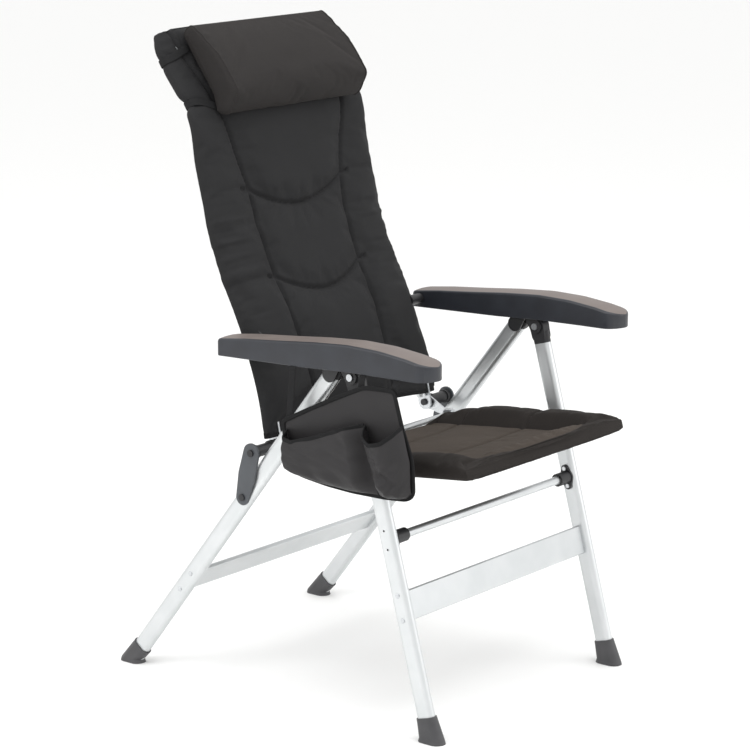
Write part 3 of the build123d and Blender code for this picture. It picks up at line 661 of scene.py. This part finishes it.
seatCover = flatShell("seatCover", seatSpec, seatCloth)
puff(seatCover, seatPin, seatSpec["pressure"], seatSpec["cap"], seatSpec["loose"])
subdivideOnce(seatCover)
seatCover.data.materials.append(seatEdgeCloth)
for polygon in seatCover.data.polygons:
    centre = polygon.center
    v = centre.y / seatSpec["length"]
    inside = centre.z > 0 and abs(centre.x) < seatSpec["sideSeam"] and v < seatFrontSeam(centre.x)
    polygon.material_index = 0 if inside else 1
for vertex in seatCover.data.vertices:
    place = vertex.co.copy()
    u, v = place.x, place.y / seatSpec["length"]
    half = seatSpec["halfThick"]
    lifted = -half + (place.z + half) * (seatTop(u, v) + half) / (2 * half)
    if place.z > 0:
        face = clamp((0.234 - abs(u)) / 0.012)
        depth = seatSpec["seamDepth"] * (1 - 0.7 * ease((v - 0.86) / 0.06))
        lifted -= face * groove(seatSeamDistance(u, v), seatSpec["seamWidth"], depth)
        lifted += 0.0014 * noise.noise(Vector((u * 12, v * 7, 2.6)))
    pucker = noise.noise(Vector((u * 70, v * 3, place.z * 30)))
    if v > 0.95:
        place.y += 0.0016 * pucker * ease((v - 0.95) / 0.05)
    place.z = lifted
    vertex.co = mapSeat(place)
smooth(seatCover, 60)
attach(seatCover, "seat")
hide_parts("seat_pad")
print("seat cover made")

# head pillow: a wedge with flat end panels sewn in on a corded seam
pillowSpec = {
    "profile": [
        (207, 1064), (216, 1098), (262, 1162), (292, 1206),
        (272, 1224), (205, 1172), (156, 1110), (180, 1064),
    ],
    "half": 192 * mm, "around": 96, "across": 72, "pressure": 3.4, "cap": 6 * mm, "loose": 0.004,
}
pillowCorners = [Vector((y * mm, z * mm, 0)) for y, z in pillowSpec["profile"]]
pillowRing, pillowGirth = evenSteps(pillowCorners, pillowSpec["around"], closed=True)
for _ in range(3):
    nextPoints = pillowRing[1:] + pillowRing[:1]
    lastPoints = pillowRing[-1:] + pillowRing[:-1]
    pillowRing = [(a + b * 2 + c) / 4 for a, b, c in zip(lastPoints, pillowRing, nextPoints)]


def makePillow():
    ring = pillowRing
    count = len(ring)
    centre = sum(ring, Vector()) / count
    rows = pillowSpec["across"]
    vertices, uvs = [], []
    for j in range(rows):
        share = j / (rows - 1)
        x = (2 * share - 1) * pillowSpec["half"]
        edge = min(1.0, share / 0.02, (1 - share) / 0.02)
        size = 0.965 + 0.035 * sqrt(max(0.0, 1 - (1 - edge) ** 2))
        for i, point in enumerate(ring):
            spot = centre + (point - centre) * size
            vertices.append((x, spot.x, spot.y))
            uvs.append((x, pillowGirth * i / count))
    faces = []
    for j in range(rows - 1):
        for i in range(count):
            k = (i + 1) % count
            faces.append((j * count + i, (j + 1) * count + i, (j + 1) * count + k, j * count + k))
    for row, flip in ((0, True), (rows - 1, False)):
        start = row * count
        for i in range(count // 2):
            face = [start + i, start + (count - i) % count, start + count - i - 1, start + i + 1]
            face = list(dict.fromkeys(face))
            if len(face) > 2:
                faces.append(tuple(face[::-1] if flip else face))
    pillow = newPiece("headPillow", vertices, faces, uvs, pillowCloth)
    faceOutward(pillow)
    return pillow


def pillowPin(place):
    if abs(abs(place.x) - pillowSpec["half"]) < 0.004:
        return 1.0 if noise.noise(Vector((place.y * 60, place.z * 60, 1.7))) > 0 else 0.5
    if place.y > 0.2 + (place.z - 1.06) * 0.40:
        return 0.95
    return 0.0


headPillow = makePillow()
puff(headPillow, pillowPin, pillowSpec["pressure"], pillowSpec["cap"], pillowSpec["loose"])
subdivideOnce(headPillow)
for vertex in headPillow.data.vertices:
    inward = (pillowSpec["half"] - abs(vertex.co.x)) / 0.03
    if 0 <= inward < 1:
        wave = noise.noise(Vector((vertex.co.y * 95, vertex.co.z * 95, 4.0)))
        vertex.co.z += 0.0022 * wave * (1 - inward) * min(1.0, inward * 6)
smooth(headPillow, 60)
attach(headPillow, "pillow")
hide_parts("head_pillow")
for name, side in (("right", -1), ("left", 1)):
    row = 1 if side < 0 else pillowSpec["across"] - 2
    firstVertex = row * len(pillowRing)
    seamPoints = [headPillow.data.vertices[firstVertex + i].co.copy() for i in range(len(pillowRing))]
    across = [Vector((1, 0, 0))] * len(seamPoints)
    cording = tape(f"pillowCording_{name}", seamPoints, across, 3.0 * mm, 3.0 * mm, pillowCloth, closed=True)
    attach(cording, "pillow")
print("pillow made")

# armrests: open channels with a crowned top, blunt rounded nose and a warmer matt top face
armSpec = {
    "top": [
        (104, 673), (98, 677), (40, 684), (-40, 691), (-120, 699),
        (-200, 704.5), (-270, 703), (-330, 696.5), (-366, 690), (-381, 686),
    ],
    "bottom": [(104, 645), (-100, 651), (-198, 656), (-300, 658), (-350, 658.5), (-381, 660.5)],
    "inner": 258.8 * mm, "outer": 318.2 * mm, "nose": 30 * mm, "rear": 9 * mm,
    "edge": 4.5 * mm, "crown": 1.6 * mm, "wall": 2.8 * mm, "roof": 4.5 * mm, "stations": 150,
}


def armHeights(y):
    top = readOff([(-a, b) for a, b in armSpec["top"]], -y)
    bottom = readOff([(-a, b) for a, b in armSpec["bottom"]], -y)
    return top, bottom


def makeArmrest(name, side):
    middle = (armSpec["inner"] + armSpec["outer"]) / 2
    half = (armSpec["outer"] - armSpec["inner"]) / 2
    rearEnd, noseEnd = armSpec["top"][0][0], armSpec["top"][-1][0]
    count = armSpec["stations"]
    heights = []
    for j in range(count):
        # stations crowd together towards both ends
        share = 0.5 - 0.5 * cos(pi * j / (count - 1))
        y = rearEnd + (noseEnd - rearEnd) * share
        heights.append((y, *armHeights(y)))
    for _ in range(4):
        inner = []
        for a, b, c in zip(heights, heights[1:], heights[2:]):
            inner.append((b[0], (a[1] + 2 * b[1] + c[1]) / 4, (a[2] + 2 * b[2] + c[2]) / 4))
        heights = [heights[0]] + inner + [heights[-1]]
    vertices, ringSize = [], 0
    for y, top, bottom in heights:
        fromNose = (y - noseEnd) * mm
        fromRear = (rearEnd - y) * mm
        width = half
        for gap, radius in ((fromNose, armSpec["nose"]), (fromRear, armSpec["rear"])):
            if gap < radius:
                width = min(width, half - radius + sqrt(max(0.0, radius ** 2 - (radius - gap) ** 2)))
        width = max(width, half - armSpec["nose"] + 0.0035)
        high, low = top * mm, bottom * mm
        edge = min(armSpec["edge"], width * 0.5, (high - low) * 0.4)
        profile = [(-width, low + 0.001), (-width, high - edge)]
        for i in range(1, 6):
            angle = pi / 2 * i / 6
            profile.append((-width + edge * (1 - cos(angle)), high - edge + edge * sin(angle)))
        for i in range(13):
            t = i / 12
            x = (-width + edge) + (2 * width - 2 * edge) * t
            profile.append((x, high + armSpec["crown"] * (1 - (2 * t - 1) ** 2) * min(1.0, width / half)))
        for i in range(1, 6):
            angle = pi / 2 * i / 6
            profile.append((width - edge + edge * sin(angle), high - edge + edge * cos(angle)))
        profile += [(width, high - edge), (width, low + 0.001), (width - 0.001, low)]
        deep = ease(min(fromNose - 0.004, fromRear - 0.002) / 0.006)
        wall = min(armSpec["wall"], width * 0.6)
        roof = low + (high - armSpec["roof"] - low) * deep
        inside = width - wall
        profile += [(inside, low), (inside, roof), (0.0, roof), (-inside, roof), (-inside, low)]
        profile.append((-width + 0.001, low))
        ringSize = len(profile)
        for x, z in profile:
            vertices.append((side * middle + x, y * mm, z))
    faces = []
    for j in range(len(heights) - 1):
        for i in range(ringSize):
            k = (i + 1) % ringSize
            faces.append((j * ringSize + i, j * ringSize + k, (j + 1) * ringSize + k, (j + 1) * ringSize + i))
    last = (len(heights) - 1) * ringSize
    faces.append(tuple(range(ringSize)))
    faces.append(tuple(last + i for i in reversed(range(ringSize))))
    armrest = newPiece(name, vertices, faces, None, armPlastic)
    armrest.data.materials.append(armTopPlastic)
    for index, polygon in enumerate(armrest.data.polygons):
        place = index % ringSize
        if 7 <= place <= 18 and index < (len(heights) - 1) * ringSize:
            polygon.material_index = 1
    faceOutward(armrest)
    smooth(armrest, 38)
    return armrest


for name, side in (("right", -1), ("left", 1)):
    armrest = makeArmrest(f"armrestShell_{name}", side)
    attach(armrest, f"armrest_{name}")
    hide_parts(f"armrest_{name}")
print("armrests made")

# side pocket: a hanging back panel with a book pocket and a gathered bottle pocket sewn on
pocketSpec = {
    "x": -321.5 * mm, "thick": 1.2 * mm, "tape": 8 * mm, "tapeThick": 3.2 * mm,
    "bottom": [
        (-70, 480), (-76, 466), (-95, 456), (-160, 448), (-219, 445),
        (-290, 446), (-340, 450), (-352, 458), (-354, 464),
    ],
    "top": [(-58, 548), (-110, 574), (-180, 608), (-243, 636), (-280, 638), (-310, 638)],
    "rear": [(-70, 480), (-64, 510), (-58, 548)],
    "front": [(-354, 464), (-351, 520), (-340, 548), (-329, 575), (-318, 612), (-310, 638)],
    "bookTop": [(-68, 534), (-82, 524), (-100, 521), (-150, 536), (-215, 561), (-248, 570)],
    "bottleTop": [(-252, 568), (-262, 555), (-285, 546), (-310, 552), (-326, 566), (-333, 578)],
    "bookDepth": 32 * mm, "bottleDepth": 40 * mm,
}


def sideCurve(points, count):
    line, _ = evenSteps([Vector((0, y * mm, z * mm)) for y, z in points], count)
    for _ in range(2):
        line = [line[0]] + [(a + b * 2 + c) / 4 for a, b, c in zip(line, line[1:], line[2:])] + [line[-1]]
    return line


# a patch of cloth stretched between four side-view edges, pushed off the panel by depthAt(across, up)
def clothPatch(name, bottom, top, rear, front, columns, rows, depthAt, material, thick):
    lower, upper = sideCurve(bottom, columns), sideCurve(top, columns)
    first, last = sideCurve(rear, rows), sideCurve(front, rows)
    vertices, uvs = [], []
    for j in range(rows):
        s = j / (rows - 1)
        for i in range(columns):
            t = i / (columns - 1)
            point = lower[i].lerp(upper[i], s) + first[j].lerp(last[j], t)
            point -= (lower[0].lerp(upper[0], s)).lerp(lower[-1].lerp(upper[-1], s), t)
            point.x = pocketSpec["x"] - depthAt(t, s)
            vertices.append(point)
            uvs.append((t * 0.25, s * 0.17))
    faces = []
    for j in range(rows - 1):
        for i in range(columns - 1):
            a = j * columns + i
            faces.append((a, a + 1, a + columns + 1, a + columns))
    patch = newPiece(name, vertices, faces, uvs, material)
    area = pieceArea(patch)
    solid = patch.modifiers.new("cloth", "SOLIDIFY")
    solid.thickness = thick
    solid.offset = 0
    applyModifiers(patch)
    faceOutward(patch)
    smooth(patch, 60)
    return patch, area


def panelDepth(t, s):
    return 0.0016 * noise.noise(Vector((t * 5, s * 4, 0.7)))


def bookDepth(t, s):
    rearWall = ease(t / 0.09)
    seam = ease((1 - t) / 0.16)
    floor = sqrt(max(0.0, 1 - (1 - min(1.0, s / 0.22)) ** 2))
    sag = 0.85 + 0.15 * sin(pi * s)
    crease = 0.0035 * noise.noise(Vector((t * 7 + s * 3, s * 5, 2.2))) * floor * seam * rearWall
    return 0.0022 + pocketSpec["bookDepth"] * rearWall * (0.15 + 0.85 * seam) * floor * sag + crease


def bottleDepth(t, s):
    bulge = max(0.0, sin(pi * clamp(t * 0.98 + 0.01))) ** 0.62
    floor = sqrt(max(0.0, 1 - (1 - min(1.0, s / 0.16)) ** 2))
    narrow = 0.80 + 0.20 * s
    folds = 0.0090 * noise.noise(Vector((t * 4 + s * 3, s * 4 - t * 2, 6.4)))
    folds += 0.0035 * noise.noise(Vector((t * 8 - s * 6, s * 6, 1.1)))
    return 0.0024 + (pocketSpec["bottleDepth"] * bulge * narrow + folds * bulge * (1.25 - s)) * floor


panel, panelArea = clothPatch(
    "pocketPanelCloth", pocketSpec["bottom"], pocketSpec["top"],
    pocketSpec["rear"], pocketSpec["front"], 70, 46, panelDepth,
    pocketCloth, pocketSpec["thick"],
)
bookPatch, bookArea = clothPatch(
    "bookPocketCloth", [(-74, 476), (-78, 466), (-98, 459), (-160, 451), (-219, 448), (-282, 449)],
    pocketSpec["bookTop"],
    [(-74, 476), (-70, 505), (-68, 534)], [(-282, 449), (-272, 490), (-248, 570)], 80, 48, bookDepth,
    pocketCloth, pocketSpec["thick"],
)
bottlePatch, bottleArea = clothPatch(
    "bottlePocketCloth", [(-284, 449), (-315, 450), (-340, 453), (-351, 463)],
    pocketSpec["bottleTop"],
    [(-284, 449), (-272, 490), (-252, 568)], [(-351, 463), (-349, 520), (-333, 578)], 64, 64, bottleDepth,
    pocketCloth, pocketSpec["thick"],
)
edgeLoop = (
    sideCurve(pocketSpec["bottom"], 60) + sideCurve(pocketSpec["front"], 40)[1:]
    + sideCurve(pocketSpec["top"], 50)[::-1][1:] + sideCurve(pocketSpec["rear"], 16)[::-1][1:-1]
)
edgeLoop, _ = evenSteps(edgeLoop, 200, closed=True)
for _ in range(3):
    edgeLoop = [(edgeLoop[i - 1] + edgeLoop[i] * 2 + edgeLoop[(i + 1) % 200]) / 4 for i in range(200)]
inwardDirections = []
for i, point in enumerate(edgeLoop):
    along = (edgeLoop[(i + 1) % 200] - edgeLoop[i - 1]).normalized()
    inwardDirections.append(Vector((0, -along.z, along.y)))
    point.x = pocketSpec["x"] - 0.0008
panelBinding = tape(
    "panelBinding", edgeLoop, inwardDirections, pocketSpec["tape"], pocketSpec["tapeThick"], bindingCloth,
    closed=True,
)


# narrow tape over a pocket's rim, laid on the patch's own top row
def rimTape(name, topEdge, depthAt, columns):
    upper = sideCurve(topEdge, columns)
    points = []
    for i, point in enumerate(upper):
        spot = point.copy()
        spot.x = pocketSpec["x"] - depthAt(i / (columns - 1), 1.0)
        points.append(spot)
    return tape(name, points, [Vector((0, 0, 1))] * columns, 7 * mm, 3 * mm, bindingCloth)


bookRim = rimTape("bookRim", pocketSpec["bookTop"], bookDepth, 80)
bottleRim = rimTape("bottleRim", pocketSpec["bottleTop"], bottleDepth, 64)
dividerPoints = sideCurve([(-284, 449), (-272, 490), (-250, 568)], 40)
for i, point in enumerate(dividerPoints):
    point.x = pocketSpec["x"] - 0.0052
dividerTape = tape("dividerTape", dividerPoints, [Vector((0, 1, 0.3))] * 40, 9 * mm, 2.4 * mm, bindingCloth)
for part, held, flat, area, trims in (
    (panel, "hung", (0.300, 0.195), panelArea, [panelBinding]),
    (bookPatch, "hung", (0.260, 0.125), bookArea, [bookRim, dividerTape]),
    (bottlePatch, "gathered", (0.165, 0.150), bottleArea, [bottleRim]),
):
    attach(part, "armrest_right")
    for trim in trims:
        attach(trim, "armrest_right")
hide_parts("pocket_panel")
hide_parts("book_pocket")
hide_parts("bottle_pocket")

# webbing loops that hang the pocket from the armrest's lower edge
webbingRuns = {
    "front": [(-309, 630), (-310, 645), (-311, 662), (-311, 668)],
    "middle": [(-236, 625), (-236, 645), (-236, 660), (-236, 668)],
    "rear": [(-70, 545), (-73, 580), (-77, 620), (-80, 660)],
}
for name, run in webbingRuns.items():
    points = sideCurve(run, 24)
    for point in points:
        point.x = pocketSpec["x"] + 0.0024 + 0.004 * ease((point.z - 0.645) / 0.01)
    loop = tape(f"pocketWebbing_{name}", points, [Vector((0, 1, 0))] * 24, 14 * mm, 1.5 * mm, strapCloth)
    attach(loop, "armrest_right")
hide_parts("pocket_straps")
print("side pocket made")

cameraSpec = {"place": (-4.0328, -3.2292, 1.743), "turn": -51.414, "pitch": 12.829, "lens": 134.99}
camera = bpy.data.objects.new("camera", bpy.data.cameras.new("camera"))
bpy.context.scene.collection.objects.link(camera)
camera.location = cameraSpec["place"]
camera.rotation_euler = (radians(90 - cameraSpec["pitch"]), 0, radians(cameraSpec["turn"]))
camera.data.lens = cameraSpec["lens"]
camera.data.sensor_width = 36
camera.data.clip_end = 100
bpy.context.scene.camera = camera


def studioFloor():
    deselectAll()
    bpy.ops.mesh.primitive_plane_add(size=40, location=(0, 0, 0))
    floor = bpy.context.object
    floor.name = "studioFloor"
    material, tree, shader = newMaterial("paleStudioFloor")
    shader.inputs["Base Color"].default_value = linear("#fafaf9")
    shader.inputs["Roughness"].default_value = 0.7
    floor.data.materials.append(material)


def softBox(name, place, target, size, power, colour="#ffffff"):
    light = bpy.data.lights.new(name, "AREA")
    light.shape = "RECTANGLE"
    light.size, light.size_y = size
    light.energy = power
    light.color = linear(colour)[:3]
    holder = bpy.data.objects.new(name, light)
    bpy.context.scene.collection.objects.link(holder)
    holder.location = place
    holder.rotation_euler = (Vector(target) - Vector(place)).to_track_quat("-Z", "Y").to_euler()


studioFloor()
softBox("overheadSoftBox", (-0.6, -0.8, 3.6), (0, 0, 0.4), (3.0, 3.0), 60)
softBox("keySoftBox", (-3.2, 1.2, 2.6), (0, 0, 0.6), (1.6, 2.2), 40)
softBox("fillSoftBox", (1.6, -3.4, 1.8), (0, 0, 0.5), (2.2, 2.2), 30)
world = bpy.data.worlds.new("studioWorld")
bpy.context.scene.world = world
world.use_nodes = True
background = world.node_tree.nodes["Background"]
background.inputs["Color"].default_value = linear("#ffffff")
background.inputs["Strength"].default_value = 1.0
bpy.context.scene.view_settings.view_transform = "Standard"
print("stage set")
